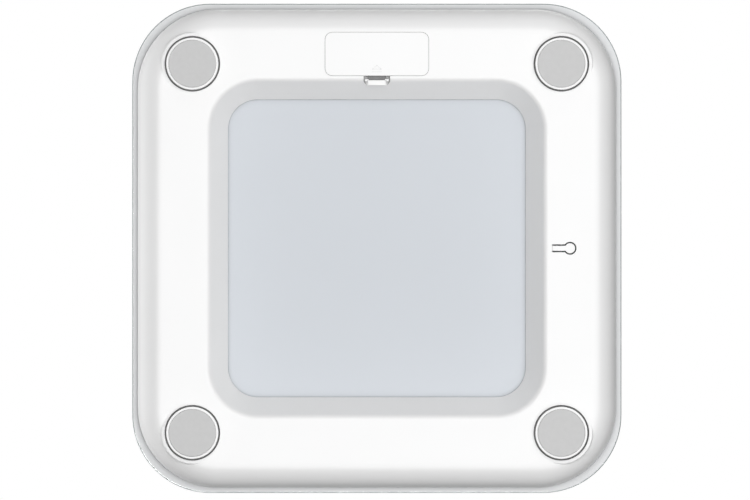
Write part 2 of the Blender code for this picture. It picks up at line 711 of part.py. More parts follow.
def make_switch():
    low, high = SWITCH_Z
    half = 3.0 * MM
    body = box("tact_switch_body", (BUTTON_X - half, -half, low), (BUTTON_X + half, half, high),
               BLACK_PLASTIC)
    cut(body, cylinders("plunger_hole", [(BUTTON_X, 0)], 2.0 * MM, low - 1 * MM,
                        low + 1.7 * MM, 14))
    plunger_low, plunger_top = STEM_TOP_Z + GAP, low + 0.9 * MM
    smooth(turned("tact_switch_plunger", [
        (0, plunger_top), (1.6 * MM, plunger_top), (1.6 * MM, plunger_low), (0, plunger_low)],
        BLACK_PLASTIC, (BUTTON_X, 0, 0), 14))
    half_x, half_y = SWITCH_BOARD_HALF
    board = box("switch_board", (BUTTON_X - half_x, -half_y, SWITCH_BOARD_Z[0]),
                (BUTTON_X + half_x, half_y, SWITCH_BOARD_Z[1]), BOARD_GREEN)
    pins = [(BUTTON_X, side * SWITCH_POST_Y) for side in (-1, 1)]
    cut(board, cylinders("board_pin_holes", pins, 1.3 * MM, 12 * MM, 16 * MM, 10))


# ---------------------------------------------------------------- electronics

def make_electronics():
    board = box("main_board", (-BOARD_HALF[0], BOARD_Y - BOARD_HALF[1], BOARD_Z[0]),
                (BOARD_HALF[0], BOARD_Y + BOARD_HALF[1], BOARD_Z[1]), BOARD_GREEN)
    screws = [(side * BOARD_SCREW_X, BOARD_Y) for side in (-1, 1)]
    cut(board, cylinders("board_screw_holes", screws, 1.4 * MM, 11 * MM, 15 * MM, 10))
    for name, place in zip(("left", "right"), screws):
        screw("board_screw_" + name, place, BOARD_Z[1] + GAP, SCREW_TIP_Z)
    chip_top = BOARD_Z[0] - GAP
    chip_half = 5 * MM
    chip = box("controller_chip", (-chip_half, BOARD_Y - chip_half, chip_top - 1.6 * MM),
               (chip_half, BOARD_Y + chip_half, chip_top), BLACK_PLASTIC)
    bevel(chip, 0.3 * MM, 1)

    holder_z = (BOARD_Z[1] + GAP, DISPLAY_LOW_Z - GAP)
    frame = rounded_rectangle(*DISPLAY_HALF, 1 * MM, 2, (0, BOARD_Y))
    inside = rounded_rectangle(*WINDOW_HALF, 1 * MM, 2, (0, BOARD_Y))
    plate("display_holder", [frame, inside], *holder_z, WHITE_PLASTIC)
    panel = rounded_rectangle(DISPLAY_HALF[0] - 0.6 * MM, DISPLAY_HALF[1] - 0.6 * MM,
                              0.8 * MM, 2, (0, BOARD_Y))
    plate("display_panel", [panel], DISPLAY_LOW_Z, COAT_LOW_Z - GAP, LCD_GREY)


def lead(name, start, run, end):
    """A round lead: its start, then (x, y) places at the height of the run, then its end."""
    waypoints = [*start, *((x, y, LEAD_RUN_Z) for x, y in run), *end]
    places = [tuple(value * MM for value in point) for point in waypoints]
    return tube(name, smooth_route(places), LEAD_R, LEAD_GREY)


def soldered_end(side, y):
    """The last stretch of a lead, bent down onto the main board."""
    bend_x, end_x = side * 35.6, side * 34.5
    return [(side * 40, y, LEAD_RUN_Z), (bend_x, y, LEAD_RUN_Z - 0.2),
            (end_x, y, LEAD_RUN_Z - 1.2), (end_x, y, LEAD_END_Z)]


def make_leads():
    """Leads lie in the ring between the walls and end above the main board. All in mm."""
    for side_name, side in (("left", -1), ("right", 1)):
        lead("load_cell_lead_display_" + side_name, [], [
            (side * 117, 124.2), (side * 106, 126.5), (side * 80, 124), (side * 50, 121.5)],
            soldered_end(side, 121.5))
        lead("load_cell_lead_battery_" + side_name, [], [
            (side * 124.2, -117), (side * 129, -102), (side * 130, -60), (side * 130, 0),
            (side * 130, 60), (side * 130, 104), (side * 123, 122.5), (side * 104, 130),
            (side * 60, 127)], soldered_end(side, 126))
    above_switch_board = (BUTTON_X / MM, 10.3, SWITCH_BOARD_Z[1] / MM + 1.2)
    lead("switch_lead", [above_switch_board], [
        (116, 14), (111, 30), (109, 60), (102, 90), (88, 104), (60, 110)],
        soldered_end(1, 112.5))
    near, far = (row / MM for row in battery_rows())
    for name, row, lane in (("positive", near, 0), ("negative", far, 4)):
        lead("battery_lead_" + name, [
            (-28.7, row, 14.0), (-33, row, 14.0), (-42, row + 1.5, 15.8)], [
            (-60, lane - 116), (-84, lane - 107), (lane - 103, -94), (lane - 114, -60),
            (lane - 115, 0), (lane - 114, 60), (lane - 104, 92), (-86, 108 - lane),
            (-60, 113 - lane)], soldered_end(-1, 114.5 - lane))


# ---------------------------------------------------------------- the whole scale

make_platform()
make_housing()
make_door()
make_latch()
make_button()
make_switch()
make_batteries()
make_contacts()
make_electronics()
make_leads()
for corner_name in CORNERS:
    make_foot(corner_name)
    make_load_cell(corner_name)
    make_bracket(corner_name)
    for screw_number, ear_place in enumerate(ear_places(corner_name), 1):
        screw(f"bracket_screw_{screw_number}_{corner_name}", ear_place,
              EAR_TOP_Z + GAP, SCREW_TIP_Z)
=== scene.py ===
"""Looks of the digital bathroom scale: fine surfaces, materials, studio light and camera.

Metres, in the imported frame: +Z up, feet on z = 0, battery door towards -Y, display towards
+Y, unit button towards +X. The camera looks up at the underside.
"""

import math

import bmesh
import bpy
from mathutils import Matrix, Vector


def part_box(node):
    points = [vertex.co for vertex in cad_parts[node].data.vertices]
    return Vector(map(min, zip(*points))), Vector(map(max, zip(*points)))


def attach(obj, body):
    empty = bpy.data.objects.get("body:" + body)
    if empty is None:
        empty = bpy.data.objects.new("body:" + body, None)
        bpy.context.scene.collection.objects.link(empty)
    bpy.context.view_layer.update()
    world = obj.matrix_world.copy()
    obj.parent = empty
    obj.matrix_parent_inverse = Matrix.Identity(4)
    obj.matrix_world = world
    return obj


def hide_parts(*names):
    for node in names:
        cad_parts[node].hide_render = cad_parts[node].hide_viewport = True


MM = 0.001

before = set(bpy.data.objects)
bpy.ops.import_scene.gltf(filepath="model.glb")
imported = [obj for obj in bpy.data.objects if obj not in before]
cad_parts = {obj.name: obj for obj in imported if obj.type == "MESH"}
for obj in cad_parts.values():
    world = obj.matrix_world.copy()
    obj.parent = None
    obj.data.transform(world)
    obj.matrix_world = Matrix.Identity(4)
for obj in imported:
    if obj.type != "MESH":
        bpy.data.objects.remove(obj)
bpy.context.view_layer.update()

CORNERS = ("display_left", "display_right", "battery_left", "battery_right")

# Places and sizes read from the frame
HOUSING_LOW, HOUSING_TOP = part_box("bottom_housing")
GLASS_LOW, GLASS_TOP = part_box("glass_platform")
COAT_LOW, COAT_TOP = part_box("glass_back_coat")
DOOR_LOW, DOOR_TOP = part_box("battery_door")
LATCH_LOW, LATCH_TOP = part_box("battery_door_latch")
BUTTON_LOW, BUTTON_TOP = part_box("unit_button")
PANEL_LOW, PANEL_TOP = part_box("display_panel")

RIM_HALF = HOUSING_TOP.x
RIM_Z = HOUSING_TOP.z
COLLAR_LOW_Z = HOUSING_LOW.z
UNDER_Z = DOOR_LOW.z                # flat underside, flush with the door

# The housing's own proportions
RIM_CORNER_R = 49.0 * MM
SKIRT_RUN = 16.1 * MM
FLAT_HALF = RIM_HALF - SKIRT_RUN
WALL = 2.2 * MM
OPENING_HALF = 91.3 * MM
OPENING_CORNER_R = 18.3 * MM
RECESS_HALF = 103.2 * MM
RECESS_FILLET_RUN = 2.4 * MM
INNER_FLANGE_HALF = 97.5 * MM
OUTER_FLANGE_HALF = 140.5 * MM
FLANGE_UNDER_Z = RIM_Z - 1.8 * MM
COLLAR_R = 19.4 * MM
WELL_R = 16.8 * MM
SLEEVE_R = 18.2 * MM
SLEEVE_TOP_Z = 9.9 * MM
GLASS_CORNER_R = 47.8 * MM
COAT_CORNER_R = 47.2 * MM
DOOR_Y = -119.0 * MM                # middle of the battery door
DOOR_HALF_Y = 13.3 * MM
DOOR_GAP = 0.3 * MM
DOOR_LIP_GAP = 0.14 * MM            # the visible line round the door
DOOR_CORNER_R = 4.5 * MM
PAD_LINE = 0.05 * MM                # the hairline between a foot pad and its cap
DOOR_PLATE_TOP_Z = UNDER_Z + 1.4 * MM
BAY_HALF_X = 28.6 * MM
BAY_HALF_Y = 11.1 * MM
BAY_ROOF_Z = (17.5 * MM, 18.6 * MM)
BAY_WALL = 1.6 * MM
HOOK_X = 20.0 * MM                  # the door's hooks and their windows, either side
NOTCH_WIDE_X = 8.1 * MM             # the notch that the latch's tab sits in
NOTCH_NARROW_X = 5.8 * MM
NOTCH_Y = (-106.3 * MM, -102.0 * MM, -99.1 * MM)    # back, end of the straight sides, tip
NOTCH_TOP_Z = 9.7 * MM
BOSS_FOOT_Z = UNDER_Z + 1.5 * MM    # posts and bosses start inside the shell's wall
BUTTON_SLOT = 0.8 * MM
BUTTON_ROOT_GAP = 0.08 * MM         # the hinge line across the tongue's root
BUTTON_ARM_HALF = 1.6 * MM
BUTTON_PAD_R = 3.15 * MM

# Smoothness of the fine surfaces
CORNER_STEPS = 20
ROUND = 96

BELOW = 2 * MM                      # how far a cutter reaches past the face it opens


# ---------------------------------------------------------------- mesh tools

def link(thing):
    bpy.context.scene.collection.objects.link(thing)
    return thing


def from_bmesh(name, bm):
    bmesh.ops.recalc_face_normals(bm, faces=bm.faces)
    mesh = bpy.data.meshes.new(name)
    bm.to_mesh(mesh)
    bm.free()
    return link(bpy.data.objects.new(name, mesh))


def bake_modifiers(thing):
    """Replaces the mesh by its evaluated one and clears the modifiers."""
    graph = bpy.context.evaluated_depsgraph_get()
    mesh = bpy.data.meshes.new_from_object(thing.evaluated_get(graph))
    thing.modifiers.clear()
    thing.data = mesh
    mesh.name = thing.name
    return thing


def smooth(thing, angle=32):
    """Smooth shading with sharp creases, and flat faces kept flat by weighted normals."""
    thing.data.shade_smooth()
    thing.data.set_sharp_from_angle(angle=math.radians(angle))
    weighted = thing.modifiers.new("flat_faces", "WEIGHTED_NORMAL")
    weighted.keep_sharp = True
    weighted.weight = 80
    return thing


def combine(target, operand, operation):
    """Boolean of two solids, baked, and the operand removed."""
    modifier = target.modifiers.new("boolean", "BOOLEAN")
    modifier.operation = operation
    modifier.object = operand
    modifier.solver = "EXACT"
    bake_modifiers(target)
    bpy.data.objects.remove(operand, do_unlink=True)


def cut(target, operand):
    combine(target, operand, "DIFFERENCE")


def join(target, operand):
    combine(target, operand, "UNION")


def bevel(thing, width, segments=3, angle=40):
    modifier = thing.modifiers.new("edge", "BEVEL")
    modifier.width = width
    modifier.segments = segments
    modifier.limit_method = "ANGLE"
    modifier.angle_limit = math.radians(angle)
    return bake_modifiers(thing)


def rounded_rectangle(half_x, half_y, radius, steps=CORNER_STEPS, centre=(0, 0)):
    points = []
    for quarter, (sx, sy) in enumerate(((1, 1), (-1, 1), (-1, -1), (1, -1))):
        for step in range(steps + 1):
            angle = math.radians(90) * (quarter + step / steps)
            x = sx * (half_x - radius) + radius * math.cos(angle)
            y = sy * (half_y - radius) + radius * math.sin(angle)
            points.append((centre[0] + x, centre[1] + y))
    return points


def skin(name, outlines, closed=False):
    """Skins outlines, each (points, z), all with the same number of points.
    A closed skin joins the last to the first; an open one is capped at both ends."""
    bm = bmesh.new()
    rings = [[bm.verts.new((x, y, z)) for x, y in points] for points, z in outlines]
    pairs = list(zip(rings, rings[1:]))
    if closed:
        pairs.append((rings[-1], rings[0]))
    for ring, following in pairs:
        for i in range(len(ring)):
            j = (i + 1) % len(ring)
            bm.faces.new((ring[i], ring[j], following[j], following[i]))
    if not closed:
        bm.faces.new(reversed(rings[0]))
        bm.faces.new(rings[-1])
    return from_bmesh(name, bm)


def prism(name, outline, low_z, high_z):
    return skin(name, [(outline, low_z), (outline, high_z)])


def block(name, low, high):
    outline = [(low[0], low[1]), (high[0], low[1]), (high[0], high[1]), (low[0], high[1])]
    return prism(name, outline, low[2], high[2])


def turned(name, profile, centre=(0, 0), sides=ROUND):
    """A closed solid of revolution about a vertical axis through the centre.
    The profile is (radius, z) from the axis round to the axis again."""
    bm = bmesh.new()
    rings = []
    for radius, z in profile:
        if radius == 0:
            rings.append([bm.verts.new((centre[0], centre[1], z))])
            continue
        ring = []
        for i in range(sides):
            angle = 2 * math.pi * i / sides
            ring.append(bm.verts.new((centre[0] + radius * math.cos(angle),
                                      centre[1] + radius * math.sin(angle), z)))
        rings.append(ring)
    for ring, following in zip(rings, rings[1:]):
        for i in range(sides):
            j = (i + 1) % sides
            if len(ring) == 1:
                bm.faces.new((ring[0], following[i], following[j]))
            elif len(following) == 1:
                bm.faces.new((ring[i], ring[j], following[0]))
            else:
                bm.faces.new((ring[i], ring[j], following[j], following[i]))
    return from_bmesh(name, bm)


def closed_ring(name, profile, sides=ROUND):
    """A hollow solid of revolution: the (radius, z) profile closes on itself."""
    outlines = []
    for radius, z in profile:
        turns = [2 * math.pi * i / sides for i in range(sides)]
        outlines.append(([(radius * math.cos(a), radius * math.sin(a)) for a in turns], z))
    return skin(name, outlines, closed=True)


def arc(centre, radius, start, end, steps):
    """Points of a profile's rounded edge, by angle in degrees in the (radius, z) plane."""
    points = []
    for step in range(steps + 1):
        angle = math.radians(start + (end - start) * step / steps)
        points.append((centre[0] + radius * math.cos(angle),
                       centre[1] + radius * math.sin(angle)))
    return points


# ---------------------------------------------------------------- materials

def node_material(name, roughness, specular=0.5):
    made = bpy.data.materials.new(name)
    made.use_nodes = True
    shader = made.node_tree.nodes["Principled BSDF"]
    shader.inputs["Roughness"].default_value = roughness
    shader.inputs["Specular IOR Level"].default_value = specular
    return made, made.node_tree, shader


def object_noise(tree, scale, detail=3.0, roughness=0.5):
    place = tree.nodes.new("ShaderNodeTexCoord")
    noise = tree.nodes.new("ShaderNodeTexNoise")
    noise.inputs["Scale"].default_value = scale
    noise.inputs["Detail"].default_value = detail
    noise.inputs["Roughness"].default_value = roughness
    tree.links.new(place.outputs["Object"], noise.inputs["Vector"])
    return noise.outputs["Fac"]


def ramp(tree, factor, stops):
    """A colour ramp of (position, colour) stops."""
    node = tree.nodes.new("ShaderNodeValToRGB")
    elements = node.color_ramp.elements
    while len(elements) < len(stops):
        elements.new(0.5)
    for element, (position, colour) in zip(elements, stops):
        element.position = position
        element.color = (*colour, 1.0)
    tree.links.new(factor, node.inputs["Fac"])
    return node.outputs["Color"]


def span(tree, factor, low, high):
    """Maps a 0 to 1 factor onto a range of values."""
    node = tree.nodes.new("ShaderNodeMapRange")
    node.inputs["To Min"].default_value = low
    node.inputs["To Max"].default_value = high
    tree.links.new(factor, node.inputs["Value"])
    return node.outputs["Result"]


def bump(tree, shader, height, strength, distance):
    node = tree.nodes.new("ShaderNodeBump")
    node.inputs["Strength"].default_value = strength
    node.inputs["Distance"].default_value = distance
    tree.links.new(height, node.inputs["Height"])
    tree.links.new(node.outputs["Normal"], shader.inputs["Normal"])


def mottled(name, colour, *, spread, roughness, scale, bump_scale, bump_height, specular=0.5):
    """A moulded or painted surface: slight tone mottling, uneven gloss and fine bump."""
    made, tree, shader = node_material(name, roughness, specular)
    tone = object_noise(tree, scale)
    dark = tuple(value * (1 - spread) for value in colour)
    tree.links.new(ramp(tree, tone, [(0.3, dark), (0.7, colour)]), shader.inputs["Base Color"])
    gloss = object_noise(tree, scale * 2.3, 2.0)
    tree.links.new(span(tree, gloss, roughness * 0.85, roughness * 1.15),
                   shader.inputs["Roughness"])
    bump(tree, shader, object_noise(tree, bump_scale, 2.0), 0.35, bump_height)
    return made


# Painted shade: an ambient occlusion node darkens the base colour in gaps, slots and the wide
# recess.
CREVICE_REACH = 3.5 * MM            # reach of the painted shade in gaps and slots
CREVICE_STOPS = ((0.15, 0.08), (0.40, 0.45), (0.58, 1.0))   # pairs of openness and tone of the painted shade
# a deeper painted shade for the latch's gap
LATCH_STOPS = ((0.15, 0.05), (0.60, 0.24), (0.88, 1.0))
HOLLOW_REACH = 28 * MM              # reach of the painted shade across the wide recess
HOLLOW_STOPS = ((0.35, 0.84), (0.95, 1.0))


def paint_occlusion_shade(tree, shader, reach, stops):
    """Paints shade into the base colour: darkens it where the surface lies deep in a gap, slot or
    hollow, where shade falls.
    """
    shade = tree.nodes.new("ShaderNodeAmbientOcclusion")
    shade.samples = 8
    shade.inputs["Distance"].default_value = reach
    grey = ramp(tree, shade.outputs["AO"], [(at, (tone, tone, tone)) for at, tone in stops])
    mix = tree.nodes.new("ShaderNodeMix")
    mix.data_type = "RGBA"
    mix.blend_type = "MULTIPLY"
    mix.inputs["Factor"].default_value = 1.0
    source = shader.inputs["Base Color"].links[0].from_socket
    tree.links.new(source, mix.inputs["A"])
    tree.links.new(grey, mix.inputs["B"])
    tree.links.new(mix.outputs["Result"], shader.inputs["Base Color"])


def white_plastic(name, stops=CREVICE_STOPS):
    made = mottled(name, (0.905, 0.905, 0.905), spread=0.012, roughness=0.30, scale=18,
                   bump_scale=900, bump_height=0.02 * MM, specular=0.9)
    tree = made.node_tree
    shader = tree.nodes["Principled BSDF"]
    # painted shade in gaps and slots, and across the wide recess
    paint_occlusion_shade(tree, shader, CREVICE_REACH, stops)
    paint_occlusion_shade(tree, shader, HOLLOW_REACH, HOLLOW_STOPS)
    return made


def coat_paint(name, back_tone):
    """Two print layers: pale grey towards the glass, the given tone on the back."""
    made, tree, shader = node_material(name, 0.38, 0.5)
    tone = object_noise(tree, 9, 2.0)
    lighter = tuple(value * 1.015 for value in back_tone)
    back = ramp(tree, tone, [(0.3, back_tone), (0.7, lighter)])
    front = ramp(tree, tone, [(0.3, (0.66, 0.68, 0.70)), (0.7, (0.68, 0.70, 0.72))])
    geometry = tree.nodes.new("ShaderNodeNewGeometry")
    split = tree.nodes.new("ShaderNodeSeparateXYZ")
    tree.links.new(geometry.outputs["Normal"], split.inputs["Vector"])
    side = tree.nodes.new("ShaderNodeMath")
    side.operation = "GREATER_THAN"
    side.inputs[1].default_value = 0.5
    tree.links.new(split.outputs["Z"], side.inputs[0])
    mix = tree.nodes.new("ShaderNodeMix")
    mix.data_type = "RGBA"
    tree.links.new(side.outputs["Value"], mix.inputs["Factor"])
    tree.links.new(back, mix.inputs["A"])
    tree.links.new(front, mix.inputs["B"])
    tree.links.new(mix.outputs["Result"], shader.inputs["Base Color"])
    # painted shade on the coat towards the recess walls
    paint_occlusion_shade(tree, shader, HOLLOW_REACH, HOLLOW_STOPS)
    bump(tree, shader, object_noise(tree, 700, 2.0), 0.3, 0.01 * MM)
    return made


def tempered_glass():
    """Clear on its two faces, and ground to a satin grey round its edge."""
    made, tree, shader = node_material("tempered_glass", 0.02, 0.5)
    shader.inputs["IOR"].default_value = 1.5
    geometry = tree.nodes.new("ShaderNodeNewGeometry")
    split = tree.nodes.new("ShaderNodeSeparateXYZ")
    tree.links.new(geometry.outputs["Normal"], split.inputs["Vector"])
    level = tree.nodes.new("ShaderNodeMath")
    level.operation = "ABSOLUTE"
    tree.links.new(split.outputs["Z"], level.inputs[0])
    face = tree.nodes.new("ShaderNodeMapRange")
    face.inputs["From Min"].default_value = 0.95
    face.inputs["From Max"].default_value = 0.995
    tree.links.new(level.outputs["Value"], face.inputs["Value"])
    clear = face.outputs["Result"]
    tree.links.new(clear, shader.inputs["Transmission Weight"])
    tree.links.new(span(tree, clear, 0.5, 0.02), shader.inputs["Roughness"])
    tint = object_noise(tree, 5, 1.0)
    mix = tree.nodes.new("ShaderNodeMix")
    mix.data_type = "RGBA"
    tree.links.new(clear, mix.inputs["Factor"])
    tree.links.new(ramp(tree, tint, [(0.3, (0.31, 0.35, 0.35)), (0.7, (0.33, 0.37, 0.37))]),
                   mix.inputs["A"])
    tree.links.new(ramp(tree, tint, [(0.3, (0.955, 0.985, 0.978)), (0.7, (0.965, 0.990, 0.984))]),
                   mix.inputs["B"])
    tree.links.new(mix.outputs["Result"], shader.inputs["Base Color"])
    bump(tree, shader, object_noise(tree, 14, 1.0), 0.15, 0.02 * MM)
    return made


def steel():
    made, tree, shader = node_material("plated_steel", 0.3)
    shader.inputs["Metallic"].default_value = 1.0
    tone = object_noise(tree, 120, 4.0)
    tree.links.new(ramp(tree, tone, [(0.3, (0.52, 0.53, 0.54)), (0.7, (0.66, 0.66, 0.65))]),
                   shader.inputs["Base Color"])
    tree.links.new(span(tree, tone, 0.24, 0.42), shader.inputs["Roughness"])
    return made


def make_materials():
    return {
        "white": white_plastic("base_plastic"),
        "door": white_plastic("door_plastic"),
        # the latch plastic carries a deeper painted shade in its gap
        "latch": white_plastic("latch_plastic", LATCH_STOPS),
        "inner_white": mottled("inner_plastic", (0.84, 0.84, 0.83), spread=0.02, roughness=0.45,
                               scale=30, bump_scale=900, bump_height=0.03 * MM),
        "coat": coat_paint("coat_paint", (0.600, 0.631, 0.672)),
        # the edge band is printed a more neutral grey than the coat's back, and painted lighter to
        # make up for the shade the skirt puts on it
        "coat_edge": coat_paint("coat_edge_paint", (0.75, 0.76, 0.77)),
        "glass": tempered_glass(),
        "foam": mottled("foot_foam", (0.62, 0.62, 0.62), spread=0.03, roughness=0.82,
                        scale=320, bump_scale=2600, bump_height=0.12 * MM, specular=0.2),
        "tape": mottled("foam_tape", (0.55, 0.56, 0.57), spread=0.06, roughness=0.85,
                        scale=400, bump_scale=1800, bump_height=0.1 * MM, specular=0.2),
        "steel": steel(),
        "sealant": mottled("sealant", (0.86, 0.86, 0.84), spread=0.04, roughness=0.5,
                           scale=90, bump_scale=500, bump_height=0.1 * MM),
        "black": mottled("black_plastic", (0.032, 0.032, 0.034), spread=0.25, roughness=0.42,
                         scale=120, bump_scale=900, bump_height=0.03 * MM),
        "board": mottled("solder_mask", (0.025, 0.085, 0.05), spread=0.25, roughness=0.4,
                         scale=160, bump_scale=900, bump_height=0.04 * MM),
        "display": mottled("display_glass", (0.105, 0.115, 0.118), spread=0.05, roughness=0.12,
                           scale=40, bump_scale=60, bump_height=0.01 * MM),
        "jacket": mottled("cell_sleeve", (0.10, 0.17, 0.27), spread=0.08, roughness=0.32,
                          scale=120, bump_scale=700, bump_height=0.03 * MM),
        "lead": mottled("lead_sleeve", (0.20, 0.20, 0.21), spread=0.15, roughness=0.5,
                        scale=200, bump_scale=900, bump_height=0.03 * MM),
    }


def finish_piece(piece, material, body, slot, *nodes):
    """Gives a piece its material and its body, and hides the CAD nodes it stands for. The slot
    argument is not used.
    """
    piece.data.materials.clear()
    piece.data.materials.append(material)
    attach(piece, body)
    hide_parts(*nodes)
    return piece


# ---------------------------------------------------------------- camera, light and floor

PHOTO_WIDTH_M = 459.3 * MM          # what the picture's width spans at the object
PHOTO_SHIFT = (-1.15 * MM, 1.05 * MM)   # the object sits slightly off the picture's middle
CAMERA_DISTANCE = 12.0


def make_camera():
    data = bpy.data.cameras.new("camera")
    data.lens = data.sensor_width * CAMERA_DISTANCE / PHOTO_WIDTH_M
    data.clip_end = 100
    camera = link(bpy.data.objects.new("camera", data))
    camera.location = (*PHOTO_SHIFT, UNDER_Z - CAMERA_DISTANCE)
    camera.rotation_euler = (math.radians(180), 0, 0)
    bpy.context.scene.camera = camera


def area_light(name, place, aim, size, power):
    data = bpy.data.lights.new(name, "AREA")
    data.shape = "RECTANGLE"
    data.size, data.size_y = size
    data.energy = power
    light = link(bpy.data.objects.new(name, data))
    light.location = place
    light.rotation_euler = (Vector(aim) - Vector(place)).to_track_quat("-Z", "Y").to_euler()
    light.visible_camera = False
    return light


def make_lights(floor):
    middle = (0, 0, 0)
    rim = (0, 0, 0.012)
    area_light("softbox_below", (0.20, 0.06, -1.6), middle, (2.4, 2.4), 41.2)
    sky = bpy.data.lights.new("sky_above", "SUN")
    sky.energy = 2.7
    sky.angle = math.radians(35)
    above = link(bpy.data.objects.new("sky_above", sky))
    above.rotation_euler = Vector((0.5, -0.7, 2.2)).to_track_quat("Z", "Y").to_euler()
    rim_left = area_light("rim_left", (-0.95, 0.0, 0.36), rim, (0.8, 0.35), 7.5)
    fill_door = area_light("fill_door_side", (0.0, -1.2, -0.5), rim, (0.9, 0.5), 1.3)
    rim_door = area_light("rim_door_side", (0.0, -1.2, 0.10), rim, (0.9, 0.14), 2.1)
    unlit = bpy.data.collections.new("not_lit_by_low_lights")
    unlit.objects.link(floor)
    unlit.collection_objects[0].light_linking.link_state = "EXCLUDE"
    for light in (rim_left, fill_door, rim_door):
        light.visible_glossy = False
        light.light_linking.receiver_collection = unlit


WORLD_BELOW = 0.03
WORLD_ABOVE = 0.25


def make_world():
    """White to the camera; as light, dim from below the horizon and bright from above it."""
    world = bpy.data.worlds.new("studio")
    bpy.context.scene.world = world
    world.use_nodes = True
    tree = world.node_tree
    seen = tree.nodes["Background"]
    seen.inputs["Strength"].default_value = 1.0
    seen.inputs["Color"].default_value = (1, 1, 1, 1)
    lighting = tree.nodes.new("ShaderNodeBackground")
    lighting.inputs["Color"].default_value = (1, 1, 1, 1)
    place = tree.nodes.new("ShaderNodeTexCoord")
    split = tree.nodes.new("ShaderNodeSeparateXYZ")
    tree.links.new(place.outputs["Generated"], split.inputs["Vector"])
    height = tree.nodes.new("ShaderNodeMapRange")
    height.interpolation_type = "SMOOTHSTEP"
    height.inputs["From Min"].default_value = -0.2
    height.inputs["From Max"].default_value = 0.2
    height.inputs["To Min"].default_value = WORLD_BELOW
    height.inputs["To Max"].default_value = WORLD_ABOVE
    tree.links.new(split.outputs["Z"], height.inputs["Value"])
    tree.links.new(height.outputs["Result"], lighting.inputs["Strength"])
    rays = tree.nodes.new("ShaderNodeLightPath")
    mix = tree.nodes.new("ShaderNodeMixShader")
    tree.links.new(rays.outputs["Is Camera Ray"], mix.inputs["Fac"])
    tree.links.new(lighting.outputs["Background"], mix.inputs[1])
    tree.links.new(seen.outputs["Background"], mix.inputs[2])
    tree.links.new(mix.outputs["Shader"], tree.nodes["World Output"].inputs["Surface"])


FLOOR_Z = -0.2 * MM                 # just clear of the foot pads: coinciding faces show streaks


def make_floor():
    """A pale floor under the feet. It is seen from above only, so the underside stays in view."""
    bm = bmesh.new()
    bmesh.ops.create_circle(bm, cap_ends=True, segments=64, radius=45)
    floor = from_bmesh("floor", bm)
    if floor.data.polygons[0].normal.z < 0:
        floor.data.flip_normals()
    floor.location.z = FLOOR_Z
    made, tree, shader = node_material("floor_paint", 0.85, 0.2)
    tone = object_noise(tree, 3, 3.0)
    tree.links.new(ramp(tree, tone, [(0.3, (0.87, 0.87, 0.87)), (0.7, (0.89, 0.89, 0.89))]),
                   shader.inputs["Base Color"])
    geometry = tree.nodes.new("ShaderNodeNewGeometry")
    clear = tree.nodes.new("ShaderNodeBsdfTransparent")
    mix = tree.nodes.new("ShaderNodeMixShader")
    tree.links.new(geometry.outputs["Backfacing"], mix.inputs["Fac"])
    tree.links.new(shader.outputs["BSDF"], mix.inputs[1])
    tree.links.new(clear.outputs["BSDF"], mix.inputs[2])
    tree.links.new(mix.outputs["Shader"], tree.nodes["Material Output"].inputs["Surface"])
    floor.data.materials.append(made)
    floor.visible_shadow = False
    floor.visible_diffuse = False
    floor.visible_glossy = False
    floor.visible_transmission = False
    return floor


# ---------------------------------------------------------------- platform

def make_glass(materials):
    half = GLASS_TOP.x
    low, high = GLASS_LOW.z, GLASS_TOP.z
    edge = 0.7 * MM
    outlines = []
    profile = arc((-edge, low + edge), edge, -90, 0, 8) + arc((-edge, high - edge), edge, 0, 90, 8)
    for inset, z in profile:
        outlines.append((rounded_rectangle(half + inset, half + inset, GLASS_CORNER_R + inset), z))
    glass = smooth(skin("glass_plate", outlines))
    glass.visible_shadow = False
    glass.visible_diffuse = False
    finish_piece(glass, materials["glass"], "base", "clear_glass", "glass_platform")


def make_coat(materials):
    half = COAT_TOP.x
    seam = 4.5 * MM
    inner = rounded_rectangle(half - seam, half - seam, COAT_CORNER_R - seam)
    outer = rounded_rectangle(half, half, COAT_CORNER_R)
    band = skin("coat_edge_band", [(outer, COAT_LOW.z), (outer, COAT_TOP.z), (inner, COAT_TOP.z),
                                   (inner, COAT_LOW.z)], closed=True)
    smooth(band)
    finish_piece(band, materials["coat_edge"], "base", "bluish_grey_coat", "glass_back_coat")

    coat = prism("coat_sheet", inner, COAT_LOW.z, COAT_TOP.z)
    middle_y = (PANEL_LOW.y + PANEL_TOP.y) / 2
    window_half = (24 * MM, 8 * MM)
    window = prism("window", rounded_rectangle(*window_half, 1.5 * MM, 8, (0, middle_y)),
                   COAT_LOW.z - MM, COAT_TOP.z + MM)
    cut(coat, window)
    smooth(coat)
    finish_piece(coat, materials["coat"], "base", "bluish_grey_coat", "glass_back_coat")


# ---------------------------------------------------------------- base shell

def outer_outline(half):
    return rounded_rectangle(half, half, RIM_CORNER_R - (RIM_HALF - half))


def inner_outline(half):
    return rounded_rectangle(half, half, OPENING_CORNER_R + (half - OPENING_HALF))


def skirt(inset, start, steps):
    """Outlines of the rounded skirt, a quarter ellipse, from its rim down to the flat."""
    run = RIM_HALF - FLAT_HALF - inset
    rise = RIM_Z - UNDER_Z - inset
    outlines = []
    for step in range(steps + 1):
        angle = start * (1 - step / steps)
        outlines.append((outer_outline(FLAT_HALF + run * math.sin(angle)),
                         RIM_Z - rise * math.cos(angle)))
    return outlines


def recess_edge(steps=10):
    flat_end = RECESS_HALF + RECESS_FILLET_RUN
    slope_start = RECESS_HALF - 1.5 * MM
    rise = 1.9 * MM
    outlines = []
    for step in range(steps + 1):
        t = step / steps
        half = (1 - t) ** 2 * flat_end + 2 * t * (1 - t) * RECESS_HALF + t ** 2 * slope_start
        outlines.append((inner_outline(half), UNDER_Z + rise * t ** 2))
    return outlines


